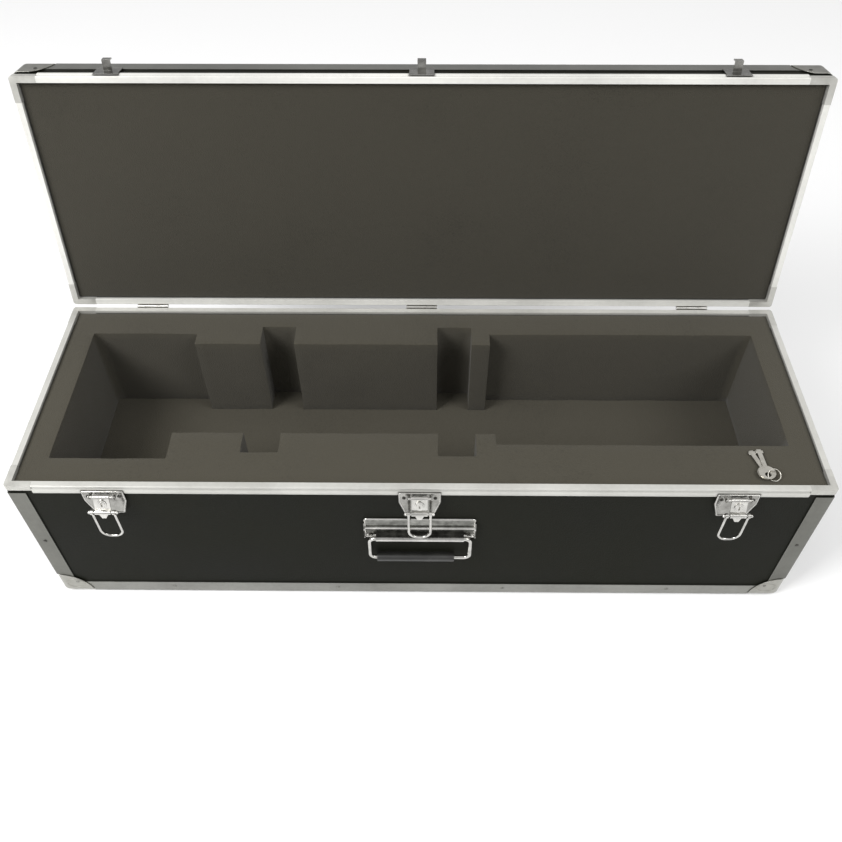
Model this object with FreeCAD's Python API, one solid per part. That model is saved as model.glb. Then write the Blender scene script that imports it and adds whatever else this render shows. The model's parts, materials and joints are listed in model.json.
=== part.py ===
import FreeCAD, Part
import math
import os

os.makedirs("parts", exist_ok=True)
V = FreeCAD.Vector

# Millimetres. +X is to the right along the case, +Y is from the front to the hinges, +Z is up.
# Everything is drawn about the floor under the middle of the base. Each node is then shifted forward, so that
# the frame's origin is on the floor under the middle of the open case.
OPEN_MIDDLE_BACK = 46.5

# Outer sizes
LENGTH = 1050.0
DEPTH = 336.0
BASE_TOP = 258.0
PARTING_GAP = 0.5
LID_DEPTH = 55.0
LID_OPEN = 100.0

# Walls and the aluminium extrusions over their edges
SKIN = 1.5
PANEL = 5.5
RIM_WIDTH = PANEL + 2 * SKIN
RIM_HEIGHT = 15.0
RIM_INNER_HEIGHT = 12.0
BEAD = 0.8
GROOVE = 0.8
ANGLE_LEG = 24.0
ANGLE_ROUND = 2.5
RIM_CORNER_ARM = 34.0
RIM_CORNER_HEIGHT = 9.0
RIM_CORNER_ROUND = 4.0

# Pressed steel corner caps; the case stands on the lower four
CAP_SHEET = 1.2
CAP_REACH = 46.0
CAP_ROUND = 9.5
CAP_GAP = 0.3

# Foam
FOAM_CLEAR = 0.2
FOAM_TOP = 253.8
POCKET_FLOOR = 111.0
LID_FOAM_RECESS = 5.8
# Cut-outs through the upper foam block: x from, x to, y from, y to
CUTOUTS = {
    "focuser_pocket": (-482.0, -331.0, -118.0, 115.0),
    "tube_channel": (-332.0, 101.0, -74.0, 94.0),
    "ring_slot_left": (-235.0, -186.0, -107.0, 131.0),
    "ring_slot_right": (24.0, 73.0, -112.0, 130.0),
    "dew_shield_pocket": (100.0, 483.0, -92.0, 116.0),
}

# Hinges
HINGE_XS = (-406.0, 0.0, 406.0)
HINGE_HALF = 23.0
HINGE_LEAF = 23.0
KNUCKLE_R = 2.4
KNUCKLE_OUT = 2.6
KNUCKLE_MIDDLE = 7.6
KNUCKLE_GAP = 0.3
HINGE_PIN_R = 1.3
RUNNING = 0.06

# Latches
LATCH_XS = {"left": -402.0, "middle": 0.0, "right": 402.0}
PLATE_SHEET = 1.2
LATCH_TOP = 251.0
LATCH_SHOULDER = 231.0
LATCH_BOTTOM = 205.0
LATCH_TOP_HALF = 27.0
LATCH_BOTTOM_HALF = 19.0
EAR_IN = 14.9
EAR_SHEET = 1.4
EAR_R = 2.7
PIVOT_OUT = 7.4
PIVOT_Z = 246.0
PIVOT_R = 1.5
LEVER_HALF = 10.2
LEVER_SHEET = 1.5
LEVER_LEAN = 20.0
LEVER_BARREL_R = 3.0
BAIL_PIN_DOWN = 20.6
BAIL_PIN_OUT = 4.0
BAIL_PIN_R = 1.6
BAIL_HALF = 14.0
BAIL_LENGTH = 52.0
BAIL_WIRE_R = 1.75
BAIL_BEND = 12.0
BAIL_HOOKED_LEAN = 7.5
LOCK_DOWN = 9.5
LOCK_R = 4.5
HOOK_GAP = 0.8
HOOK_HALF = 5.5

# Carrying handle
BRACKET_HALF = 74.5
BRACKET_BOTTOM = 147.5
BRACKET_TOP = 191.0
CREASE_Z = 171.0
CREASE_R = 2.0
CREASE_OUT = 0.6
HANDLE_AXIS_Z = 150.5
HANDLE_AXIS_OUT = 4.4
HANDLE_WIRE_R = 2.75
HANDLE_HALF = 68.0
HANDLE_DROP = 43.5
HANDLE_BEND = 8.0
HANDLE_LEAN = 1.5
SADDLE_R = 4.0
GRIP_R = 6.0
GRIP_LEFT = -59.0
GRIP_RIGHT = 47.0

# Rivets: each head is drawn as (radius, rise) from its rim to its top
RIVET_HEAD = ((2.6, 0), (2.35, 0.5), (1.7, 0.85), (0.8, 1.0))
POST_RIVET_Z = 133.0

# Keys on their ring, lying on the foam; the place is that of the holes in their bows
KEY_X = 442.0
KEY_Y = -144.0
KEY_ANGLES = (92.0, 106.0)
KEY_SHEET = 1.0
KEY_BOW_R = 11.0
KEY_HOLE_R = 3.9
KEY_HOLE_BACK = 4.0
KEY_BLADE = 28.0
KEY_BLADE_HALF = 3.0
KEY_BIT = 4.5
KEY_BIT_HALF = 4.8
RING_R = 8.0
RING_WIRE_R = 0.6
RING_TILT = 28.0
KEYS_DIP = 3.0

# Worked out from the sizes above
HALF_X = LENGTH / 2
HALF_Y = DEPTH / 2
FOOT = CAP_SHEET
FLOOR_TOP = FOOT + SKIN + PANEL
RIM_BOTTOM = BASE_TOP - RIM_HEIGHT
LID_BOTTOM = BASE_TOP + PARTING_GAP
LID_TOP = LID_BOTTOM + LID_DEPTH - CAP_SHEET
LID_PANEL_BOTTOM = LID_TOP - SKIN - PANEL
HINGE_Y = HALF_Y + KNUCKLE_OUT
HINGE_Z = BASE_TOP + PARTING_GAP / 2
SIDE_TURN = {"front": 0, "right": 90, "back": 180, "left": 270}
PIVOT_Y = -HALF_Y - PIVOT_OUT


def box(x0, x1, y0, y1, z0, z1):
    """A block between two opposite corners."""
    return Part.makeBox(x1 - x0, y1 - y0, z1 - z0, V(x0, y0, z0))


def rod(radius, start, end):
    """A round bar from one point to another."""
    along = V(*end) - V(*start)
    return Part.makeCylinder(radius, along.Length, V(*start), along)


def front_box(x0, x1, n0, n1, z0, z1):
    """A block in front of the case; n is the distance out from the extrusions' front face."""
    return box(x0, x1, -HALF_Y - n1, -HALF_Y - n0, z0, z1)


def back_box(x0, x1, n0, n1, z0, z1):
    """A block behind the case; n is the distance out from the extrusions' back face."""
    return box(x0, x1, HALF_Y + n0, HALF_Y + n1, z0, z1)


def joined(shapes):
    """One solid out of pieces that touch or overlap."""
    return shapes[0].multiFuse(shapes[1:]).removeSplitter()


def turned(shape, angle, centre=(0, 0, 0), axis=(0, 0, 1)):
    """A copy of a shape turned about an axis."""
    copy = shape.copy()
    copy.rotate(V(*centre), V(*axis), angle)
    return copy


def moved(shape, x, y, z):
    """A copy of a shape, shifted."""
    copy = shape.copy()
    copy.translate(V(x, y, z))
    return copy


def opened(shape):
    """A lid piece, made closed, swung open on the hinges."""
    return turned(shape, -LID_OPEN, (0, HINGE_Y, HINGE_Z), (1, 0, 0))


def export(name, *shapes):
    """Write one node; several shapes stay separate solids."""
    solids = [solid for shape in shapes for solid in shape.Solids]
    whole = solids[0] if len(solids) == 1 else Part.makeCompound(solids)
    moved(whole, 0, -OPEN_MIDDLE_BACK, 0).exportStep("parts/%s.step" % name)


def outline_face(points, arcs, plane):
    """A flat face from an outline; the edge that starts at a point listed in arcs bends through its value."""
    edges = []
    for i, start in enumerate(points):
        end = points[(i + 1) % len(points)]
        if i in arcs:
            edges.append(Part.Arc(plane(*start), plane(*arcs[i]), plane(*end)).toShape())
        else:
            edges.append(Part.makeLine(plane(*start), plane(*end)))
    return Part.Face(Part.Wire(edges))


def run_of(points, arcs, half_run, reach, level, up, side):
    """An extrusion along one side: its section is drawn as (distance out, height from the level)."""
    def plane(out, height):
        return V(-half_run, -reach - out, level + up * height)
    solid = outline_face(points, arcs, plane).extrude(V(2 * half_run, 0, 0))
    return turned(solid, SIDE_TURN[side])


def side_sizes(side):
    """Half the length of a side, and how far that side is from the middle."""
    return (HALF_X, HALF_Y) if side in ("front", "back") else (HALF_Y, HALF_X)


def rim(side, level, up):
    """The rim extrusion on a wall: a web over the edge, a beaded outer skirt and an inner skirt."""
    half, reach = side_sizes(side)
    points = [(-RIM_WIDTH, 0), (-0.8, 0), (0, 0.8), (0, 2.4), (-GROOVE, 3.2), (-GROOVE, 5.2), (0, 6.0),
              (0, 14.4), (-SKIN, RIM_HEIGHT), (-SKIN, SKIN), (SKIN - RIM_WIDTH, SKIN),
              (SKIN - RIM_WIDTH, RIM_INNER_HEIGHT), (-RIM_WIDTH, RIM_INNER_HEIGHT)]
    arcs = {6: (BEAD, 10.2)}
    return run_of(points, arcs, half - RIM_CORNER_ARM, reach, level, up, side)


def angle_section():
    """An L section with a rounded outer edge."""
    bend = ANGLE_ROUND * (1 - math.sqrt(0.5))
    points = [(0, ANGLE_ROUND), (0, ANGLE_LEG), (-SKIN, ANGLE_LEG), (-SKIN, SKIN), (-ANGLE_LEG, SKIN),
              (-ANGLE_LEG, 0), (-ANGLE_ROUND, 0)]
    return points, {6: (-bend, bend)}


def edge_angle(side, level, up):
    """The angle extrusion along a long edge, between the corner posts."""
    half, reach = side_sizes(side)
    points, arcs = angle_section()
    return run_of(points, arcs, half - ANGLE_LEG, reach, level, up, side)


def at_corner(shape, sx, sy, level, up):
    """Place a shape made at the origin, reaching towards +X +Y +Z, at one corner of the case."""
    placed = shape.copy()
    if sx > 0:
        placed = placed.mirror(V(0, 0, 0), V(1, 0, 0))
    if sy > 0:
        placed = placed.mirror(V(0, 0, 0), V(0, 1, 0))
    if up < 0:
        placed = placed.mirror(V(0, 0, 0), V(0, 0, 1))
    return moved(placed, sx * HALF_X, sy * HALF_Y, level)


def at_corners(shape, level, up):
    """The same shape at all four corners."""
    return [at_corner(shape, sx, sy, level, up) for sx in (-1, 1) for sy in (-1, 1)]


def rounded_corner_block(outset, reach, radius):
    """A block whose three outer edges and corner are rounded."""
    block = box(-outset, reach, -outset, reach, -outset, reach)
    outer = [e for e in block.Edges
             if sum(abs(c + outset) < 0.01 for c in tuple(e.CenterOfMass)) == 2]
    return block.makeFillet(radius, outer)


def corner_cap(height):
    """A pressed corner cap: a thin rounded shell with a curved inner outline."""
    shell = rounded_corner_block(CAP_SHEET, 60, CAP_ROUND)
    shell = shell.cut(rounded_corner_block(0, 70, CAP_ROUND - CAP_SHEET))
    ball = Part.makeSphere(CAP_REACH, V(-CAP_SHEET, -CAP_SHEET, -CAP_SHEET))
    return shell.common(ball).common(box(-9, 60, -9, 60, -9, height))


def corner_trim():
    """What the pieces under a cap lose at their corner, so that the cap can be round."""
    return box(-5, 45, -5, 45, -5, 45).cut(rounded_corner_block(0, 60, CAP_ROUND - CAP_SHEET))


def corner_post():
    """The upright angle extrusion between a lower corner cap and the rim."""
    points, arcs = angle_section()
    face = outline_face(points, arcs, lambda out, across: V(-out, across, 0))
    return face.extrude(V(0, 0, RIM_BOTTOM - FOOT))


def rim_corner():
    """The cast piece that joins two rims: L-shaped in plan, with a slot for the walls."""
    arm = RIM_CORNER_ARM
    height = RIM_CORNER_HEIGHT
    block = box(0, arm, 0, arm, 0, height)
    upright = [e for e in block.Edges if abs(e.CenterOfMass.x) < 0.01 and abs(e.CenterOfMass.y) < 0.01]
    block = block.makeFillet(RIM_CORNER_ROUND, upright)
    block = block.cut(box(RIM_WIDTH, arm, RIM_WIDTH, arm, 0, height))
    far = RIM_WIDTH - SKIN
    slot = box(SKIN, arm, SKIN, arm, SKIN, height).cut(box(far, arm, far, arm, 0, height))
    return block.cut(slot)


def walls(level_low, level_high):
    """Front, back, left and right panels between two heights."""
    face_x = HALF_X - SKIN
    face_y = HALF_Y - SKIN
    inner_x = face_x - PANEL
    inner_y = face_y - PANEL
    return {
        "front": box(-face_x, face_x, -face_y, -inner_y, level_low, level_high),
        "back": box(-face_x, face_x, inner_y, face_y, level_low, level_high),
        "left": box(-face_x, -inner_x, -inner_y, inner_y, level_low, level_high),
        "right": box(inner_x, face_x, -inner_y, inner_y, level_low, level_high),
    }


def make_shell():
    """The base's panels and every extrusion, rim and cap on them."""
    trims = Part.makeCompound(at_corners(corner_trim(), FOOT, 1))
    for side, wall in walls(FLOOR_TOP, BASE_TOP - SKIN).items():
        export(side + "_panel", wall.cut(trims))
    face_x = HALF_X - SKIN
    face_y = HALF_Y - SKIN
    export("bottom_panel", box(-face_x, face_x, -face_y, face_y, FOOT + SKIN, FLOOR_TOP).cut(trims))
    for side in SIDE_TURN:
        export("base_edge_" + side, edge_angle(side, FOOT, 1).cut(trims))
        export("base_rim_" + side, rim(side, BASE_TOP, -1))
    export("base_corner_posts", *[post.cut(trims) for post in at_corners(corner_post(), FOOT, 1)])
    export("base_rim_corners", *at_corners(rim_corner(), BASE_TOP, -1))
    export("base_ball_corners", *at_corners(corner_cap(CAP_REACH), FOOT, 1))


def make_lid():
    """The lid's panels, extrusions, rims and caps."""
    trims = Part.makeCompound(at_corners(corner_trim(), LID_TOP, -1))
    for side, wall in walls(LID_BOTTOM + SKIN, LID_PANEL_BOTTOM).items():
        export("lid_side_" + side, opened(wall.cut(trims)))
    face_x = HALF_X - SKIN
    face_y = HALF_Y - SKIN
    top = box(-face_x, face_x, -face_y, face_y, LID_PANEL_BOTTOM, LID_TOP - SKIN)
    export("lid_panel", opened(top.cut(trims)))
    for side in SIDE_TURN:
        export("lid_edge_" + side, opened(edge_angle(side, LID_TOP, -1).cut(trims)))
        export("lid_rim_" + side, opened(rim(side, LID_BOTTOM, 1)))
    corners = at_corners(rim_corner(), LID_BOTTOM, 1)
    export("lid_rim_corners", *[opened(corner) for corner in corners])
    height = LID_TOP - LID_BOTTOM - RIM_HEIGHT - CAP_GAP
    export("lid_ball_corners", *[opened(cap) for cap in at_corners(corner_cap(height), LID_TOP, -1)])


def foam_sheet(z0, z1):
    """A sheet of foam that fills the case from side to side."""
    half_x = HALF_X - RIM_WIDTH - FOAM_CLEAR
    half_y = HALF_Y - RIM_WIDTH - FOAM_CLEAR
    return box(-half_x, half_x, -half_y, half_y, z0, z1)


def make_foam():
    """The cut-out block on its floor pad, and the lid's flat pad."""
    block = foam_sheet(POCKET_FLOOR, FOAM_TOP)
    for x0, x1, y0, y1 in CUTOUTS.values():
        block = block.cut(box(x0, x1, y0, y1, POCKET_FLOOR, FOAM_TOP))
    export("foam_block", block)
    export("foam_floor_pad", foam_sheet(FLOOR_TOP, POCKET_FLOOR))
    export("lid_foam_pad", opened(foam_sheet(LID_BOTTOM + LID_FOAM_RECESS, LID_PANEL_BOTTOM)))


def hinge_barrel(x0, x1, bore):
    """A rolled knuckle about the hinge axis."""
    barrel = rod(KNUCKLE_R, (x0, HINGE_Y, HINGE_Z), (x1, HINGE_Y, HINGE_Z))
    return barrel.cut(rod(bore, (x0, HINGE_Y, HINGE_Z), (x1, HINGE_Y, HINGE_Z)))


def bored_tab(tab, bore):
    """The strip of a leaf that meets its knuckle, cleared for the pin."""
    return tab.cut(rod(bore, (-HALF_X, HINGE_Y, HINGE_Z), (HALF_X, HINGE_Y, HINGE_Z)))


def base_leaf(x):
    """The hinge leaf on the base: two outer knuckles."""
    out0 = BEAD
    out1 = BEAD + SKIN
    lip = HINGE_Z - KNUCKLE_R - KNUCKLE_GAP
    low = lip - HINGE_LEAF
    parts = [back_box(x - HINGE_HALF, x + HINGE_HALF, out0, out1, low, lip),
             back_box(x - HINGE_HALF, x + HINGE_HALF, -SKIN, out0, low, RIM_BOTTOM - CAP_GAP)]
    for x0, x1 in ((x - HINGE_HALF, x - KNUCKLE_MIDDLE - KNUCKLE_GAP),
                   (x + KNUCKLE_MIDDLE + KNUCKLE_GAP, x + HINGE_HALF)):
        parts.append(bored_tab(back_box(x0, x1, out0, out1, lip, HINGE_Z), HINGE_PIN_R))
        parts.append(hinge_barrel(x0, x1, HINGE_PIN_R))
    return joined(parts)


def lid_leaf(x):
    """The hinge leaf on the lid: one middle knuckle that runs on the pin."""
    out0 = BEAD
    out1 = BEAD + SKIN
    lip = HINGE_Z + KNUCKLE_R + KNUCKLE_GAP
    high = lip + HINGE_LEAF
    middle = (x - KNUCKLE_MIDDLE, x + KNUCKLE_MIDDLE)
    bore = HINGE_PIN_R + RUNNING
    skirt_top = LID_BOTTOM + RIM_HEIGHT + CAP_GAP
    pad_top = LID_TOP - ANGLE_LEG - CAP_GAP
    return joined([
        back_box(x - HINGE_HALF, x + HINGE_HALF, out0, out1, lip, high),
        back_box(x - HINGE_HALF, x + HINGE_HALF, -SKIN, out0, skirt_top, min(high, pad_top)),
        bored_tab(back_box(*middle, out0, out1, HINGE_Z, lip), bore),
        hinge_barrel(*middle, bore),
    ])


def make_hinges():
    """Three butt hinges on the back."""
    export("hinge_base_leaves", *[base_leaf(x) for x in HINGE_XS])
    export("hinge_lid_leaves", *[opened(lid_leaf(x)) for x in HINGE_XS])
    export("hinge_pins", *[rod(HINGE_PIN_R, (x - HINGE_HALF, HINGE_Y, HINGE_Z),
                               (x + HINGE_HALF, HINGE_Y, HINGE_Z)) for x in HINGE_XS])


def latch_plate(x):
    """The latch's base plate, with two ears that hold the lever's pivot."""
    low = BEAD
    high = BEAD + PLATE_SHEET
    points = [(-LATCH_TOP_HALF, LATCH_TOP), (LATCH_TOP_HALF, LATCH_TOP), (LATCH_TOP_HALF, LATCH_SHOULDER),
              (LATCH_BOTTOM_HALF, LATCH_BOTTOM), (-LATCH_BOTTOM_HALF, LATCH_BOTTOM),
              (-LATCH_TOP_HALF, LATCH_SHOULDER)]
    face = outline_face(points, {}, lambda a, z: V(x + a, -HALF_Y - low, z))
    sheet = face.extrude(V(0, low - high, 0))
    slot_half = 9.0
    slot = front_box(x - slot_half, x + slot_half, low, high, LATCH_TOP - 5.5, LATCH_TOP - 2.0)
    inset = 2.0
    pad = front_box(x - LATCH_BOTTOM_HALF + inset, x + LATCH_BOTTOM_HALF - inset, -SKIN, low,
                    LATCH_BOTTOM + inset, RIM_BOTTOM - CAP_GAP)
    parts = [sheet.cut(slot), pad]
    for side in (-1, 1):
        x0, x1 = sorted((x + side * EAR_IN, x + side * (EAR_IN + EAR_SHEET)))
        ear = front_box(x0, x1, high, PIVOT_OUT, PIVOT_Z - 2 * EAR_R, PIVOT_Z + EAR_R)
        ear = ear.fuse(rod(EAR_R, (x0, PIVOT_Y, PIVOT_Z), (x1, PIVOT_Y, PIVOT_Z)))
        parts.append(ear.cut(rod(PIVOT_R, (x0, PIVOT_Y, PIVOT_Z), (x1, PIVOT_Y, PIVOT_Z))))
    return joined(parts)


def lever_point(down, out):
    """A point on the lever, measured from its pivot with the lever drawn upright, as y and z."""
    return PIVOT_Y - out, PIVOT_Z - down


def leaned(shape):
    """A piece of the lever, drawn upright, leaned out to where the closed lever rests."""
    return turned(shape, -LEVER_LEAN, (0, PIVOT_Y, PIVOT_Z), (1, 0, 0))


def lever_rod(x, half, radius, down, out):
    """A bar along X through a point of the lever drawn upright."""
    y, z = lever_point(down, out)
    return rod(radius, (x - half, y, z), (x + half, y, z))


def lever_box(x, half, down0, down1, out0, out1):
    """A block on the lever drawn upright."""
    return box(x - half, x + half, PIVOT_Y - out1, PIVOT_Y - out0, PIVOT_Z - down1, PIVOT_Z - down0)


def latch_lever(x):
    """The lever: pivot barrel, lock face with a bezel, a barrel for the bail pin and a pointed finger lip."""
    face_in = 1.0
    face_out = face_in + LEVER_SHEET
    bezel_r = LOCK_R + 1.7
    bezel_rise = 1.1
    lip_half = 8.0
    lip_tip_half = 2.5
    lip_length = 9.5
    lip_out = BAIL_PIN_OUT - 0.4
    pin_barrel_r = 3.1
    lip = [(-lip_half, BAIL_PIN_DOWN), (lip_half, BAIL_PIN_DOWN), (lip_tip_half, BAIL_PIN_DOWN + lip_length),
           (-lip_tip_half, BAIL_PIN_DOWN + lip_length)]
    lip_face = outline_face(lip, {}, lambda a, down: V(x + a, *lever_point(down, lip_out)))
    y_face, z_lock = lever_point(LOCK_DOWN, face_out)
    y_in = lever_point(LOCK_DOWN, face_in)[0]
    body = joined([
        lever_rod(x, LEVER_HALF, LEVER_BARREL_R, 0, 0),
        lever_box(x, LEVER_HALF, 0, BAIL_PIN_DOWN, face_in, face_out),
        rod(bezel_r, (x, y_face + 0.5, z_lock), (x, y_face - bezel_rise, z_lock)),
        lever_rod(x, LEVER_HALF, pin_barrel_r, BAIL_PIN_DOWN, BAIL_PIN_OUT),
        lip_face.extrude(V(0, LEVER_SHEET, 0)),
    ])
    body = body.cut(lever_rod(x, LEVER_HALF, PIVOT_R + RUNNING, 0, 0))
    body = body.cut(lever_rod(x, LEVER_HALF, BAIL_PIN_R + RUNNING, BAIL_PIN_DOWN, BAIL_PIN_OUT))
    lock_bore = rod(LOCK_R + RUNNING, (x, y_in + 1, z_lock), (x, y_face - bezel_rise - 1, z_lock))
    return leaned(body.cut(lock_bore))


def lock_cylinder(x):
    """The lock's plug, with a keyway in its face and a cam behind the lever."""
    y_front, z = lever_point(LOCK_DOWN, 4.0)
    y_back = lever_point(LOCK_DOWN, 0.2)[0]
    cam_sheet = 1.4
    cam_reach = 6.0
    plug = rod(LOCK_R, (x, y_back, z), (x, y_front, z))
    cam = box(x - 2.5, x + 2.5, y_back, y_back + cam_sheet, z - 2.5, z + cam_reach)
    keyway = box(x - 0.9, x + 0.9, y_front, y_front + 2.5, z - 2.8, z + 2.8)
    return leaned(joined([plug, cam]).cut(keyway))


def bail_pin(x):
    """The cross pin that carries the bail, with a ball on each end."""
    ball_r = 2.3
    centre = BAIL_HALF + 3.4
    neck = centre - math.sqrt(ball_r ** 2 - BAIL_PIN_R ** 2)
    y, z = lever_point(BAIL_PIN_DOWN, BAIL_PIN_OUT)
    points = [(-centre - ball_r, 0), (-neck, BAIL_PIN_R), (neck, BAIL_PIN_R), (centre + ball_r, 0)]
    arcs = {0: (-centre, ball_r), 2: (centre, ball_r)}
    half_section = outline_face(points, arcs, lambda along, radius: V(x + along, y, z + radius))
    return leaned(half_section.revolve(V(x, y, z), V(1, 0, 0), 360))


def wire_through(points, bend, radius):
    """A bent round wire along straight runs joined by arcs."""
    edges = []
    start = V(*points[0])
    for before, corner, after in zip(points, points[1:], points[2:]):
        corner = V(*corner)
        back = (V(*before) - corner).normalize()
        on = (V(*after) - corner).normalize()
        turn = math.pi - back.getAngle(on)
        inset = bend * math.tan(turn / 2)
        middle = (back + on).normalize() * (bend / math.cos(turn / 2) - bend)
        first = corner + back * inset
        last = corner + on * inset
        edges.append(Part.makeLine(start, first))
        edges.append(Part.Arc(first, corner + middle, last).toShape())
        start = last
    edges.append(Part.makeLine(start, V(*points[-1])))
    path = Part.Wire(edges)
    along = (V(*points[1]) - V(*points[0])).normalize()
    section = Part.Wire(Part.makeCircle(radius, V(*points[0]), along))
    return path.makePipeShell([section], True, True)


def bail_pin_place():
    """Where the bail pin is, as y and z."""
    angle = math.radians(LEVER_LEAN) + math.atan2(BAIL_PIN_OUT, BAIL_PIN_DOWN)
    reach = math.hypot(BAIL_PIN_OUT, BAIL_PIN_DOWN)
    return PIVOT_Y - reach * math.sin(angle), PIVOT_Z - reach * math.cos(angle)


def bail(x):
    """The wire bail, hanging from its pin by two eyes."""
    eye_r = 3.2
    eye_in = BAIL_HALF - 1.7
    eye_out = BAIL_HALF + 1.7
    y, z = bail_pin_place()
    low = z - BAIL_LENGTH
    wire = wire_through([(x - BAIL_HALF, y, z - 2.2), (x - BAIL_HALF, y, low), (x + BAIL_HALF, y, low),
                         (x + BAIL_HALF, y, z - 2.2)], BAIL_BEND, BAIL_WIRE_R)
    parts = [wire]
    for side in (-1, 1):
        parts.append(rod(eye_r, (x + side * eye_in, y, z), (x + side * eye_out, y, z)))
    bore = rod(BAIL_PIN_R + RUNNING, (x - 2 * eye_out, y, z), (x + 2 * eye_out, y, z))
    return joined(parts).cut(bore)


def latch_strike(x):
    """The keeper on the lid: a plate with an upturned hook, where the raised bail's round end goes."""
    low = BEAD
    high = BEAD + PLATE_SHEET
    sheet = 1.5
    plate_half = 16.0
    pin_y, pin_z = bail_pin_place()
    lean = math.radians(BAIL_HOOKED_LEAN)
    floor = pin_z + BAIL_LENGTH * math.cos(lean) - BAIL_WIRE_R - HOOK_GAP
    lip = -HALF_Y - pin_y - BAIL_LENGTH * math.sin(lean) + BAIL_WIRE_R + HOOK_GAP
    lip_height = 7.0
    plate_low = LID_BOTTOM + 3.5
    plate_high = LID_TOP - ANGLE_LEG - CAP_GAP
    pad_low = LID_BOTTOM + RIM_HEIGHT + CAP_GAP
    return opened(joined([
        front_box(x - plate_half, x + plate_half, low, high, plate_low, plate_high),
        front_box(x - plate_half, x + plate_half, -SKIN, low, pad_low, plate_high),
        front_box(x - HOOK_HALF, x + HOOK_HALF, high, lip + sheet, floor - sheet, floor),
        front_box(x - HOOK_HALF, x + HOOK_HALF, lip, lip + sheet, floor, floor + lip_height),
    ]))


def make_latches():
    """Three draw latches with locks."""
    xs = LATCH_XS.values()
    export("latch_plates", *[latch_plate(x) for x in xs])
    pin_half = EAR_IN + EAR_SHEET + 0.8
    export("latch_pivot_pins", *[lever_rod(x, pin_half, PIVOT_R, 0, 0) for x in xs])
    export("latch_strikes", *[latch_strike(x) for x in xs])
    for place, x in LATCH_XS.items():
        export("latch_lever_" + place, latch_lever(x))
        export("lock_cylinder_" + place, lock_cylinder(x))
        export("bail_pin_" + place, bail_pin(x))
        export("bail_" + place, bail(x))


def handle_bracket():
    """The plate on the front: a rolled lower edge that holds the handle's wire, a crease and end cheeks."""
    sheet = PLATE_SHEET - SKIN
    corner = 5.0
    saddle_half = HANDLE_HALF - HANDLE_BEND - 1.0
    cheek = 1.4
    crease_half = BRACKET_HALF - cheek
    crease_y = -HALF_Y - CREASE_OUT
    plate = front_box(-BRACKET_HALF, BRACKET_HALF, -SKIN, sheet, BRACKET_BOTTOM, BRACKET_TOP)
    upright = [e for e in plate.Edges if abs(e.CenterOfMass.y + HALF_Y + (sheet - SKIN) / 2) < 0.01]
    plate = plate.makeFillet(corner, upright)
    axis_y = -HALF_Y - HANDLE_AXIS_OUT
    low = HANDLE_AXIS_Z - SADDLE_R
    high = HANDLE_AXIS_Z + SADDLE_R
    parts = [
        plate,
        front_box(-saddle_half, saddle_half, sheet, HANDLE_AXIS_OUT, low, high),
        rod(SADDLE_R, (-saddle_half, axis_y, HANDLE_AXIS_Z), (saddle_half, axis_y, HANDLE_AXIS_Z)),
        rod(CREASE_R, (-crease_half, crease_y, CREASE_Z), (crease_half, crease_y, CREASE_Z)),
    ]
    for side in (-1, 1):
        x0, x1 = sorted((side * BRACKET_HALF, side * (BRACKET_HALF - cheek)))
        parts.append(front_box(x0, x1, sheet, HANDLE_AXIS_OUT, BRACKET_BOTTOM + corner, BRACKET_TOP - corner))
    bore = rod(HANDLE_WIRE_R + RUNNING, (-BRACKET_HALF, axis_y, HANDLE_AXIS_Z),
               (saddle_half, axis_y, HANDLE_AXIS_Z))
    return joined(parts[:4]).cut(bore).multiFuse(parts[4:])


def make_handle():
    """The folding wire handle with its moulded grip."""
    y = -HALF_Y - HANDLE_AXIS_OUT
    low = HANDLE_AXIS_Z - HANDLE_DROP
    split = 4.0
    wire = wire_through([(-split, y, HANDLE_AXIS_Z), (-HANDLE_HALF, y, HANDLE_AXIS_Z), (-HANDLE_HALF, y, low),
                         (HANDLE_HALF, y, low), (HANDLE_HALF, y, HANDLE_AXIS_Z), (split, y, HANDLE_AXIS_Z)],
                        HANDLE_BEND, HANDLE_WIRE_R)
    grip = rod(GRIP_R, (GRIP_LEFT, y, low), (GRIP_RIGHT, y, low))
    grip = grip.makeFillet(1.5, [e for e in grip.Edges if e.Curve.TypeId == "Part::GeomCircle"])
    grip = grip.cut(rod(HANDLE_WIRE_R, (GRIP_LEFT, y, low), (GRIP_RIGHT, y, low)))
    pivot = (0, y, HANDLE_AXIS_Z)
    export("handle_bracket", handle_bracket())
    export("handle_frame", turned(wire, -HANDLE_LEAN, pivot, (1, 0, 0)))
    export("handle_grip", turned(grip, -HANDLE_LEAN, pivot, (1, 0, 0)))


def rivet(base, outward):
    """A low domed rivet head on a face."""
    foot = V(*base)
    along = V(*outward)
    across = V(-outward[1], outward[0], 0) if outward[2] == 0 else V(1, 0, 0)
    points = [(0, 0)] + list(RIVET_HEAD) + [(0, RIVET_HEAD[-1][1])]
    half_section = outline_face(points, {}, lambda radius, rise: foot + across * radius + along * rise)
    return half_section.revolve(foot, along, 360)


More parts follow.
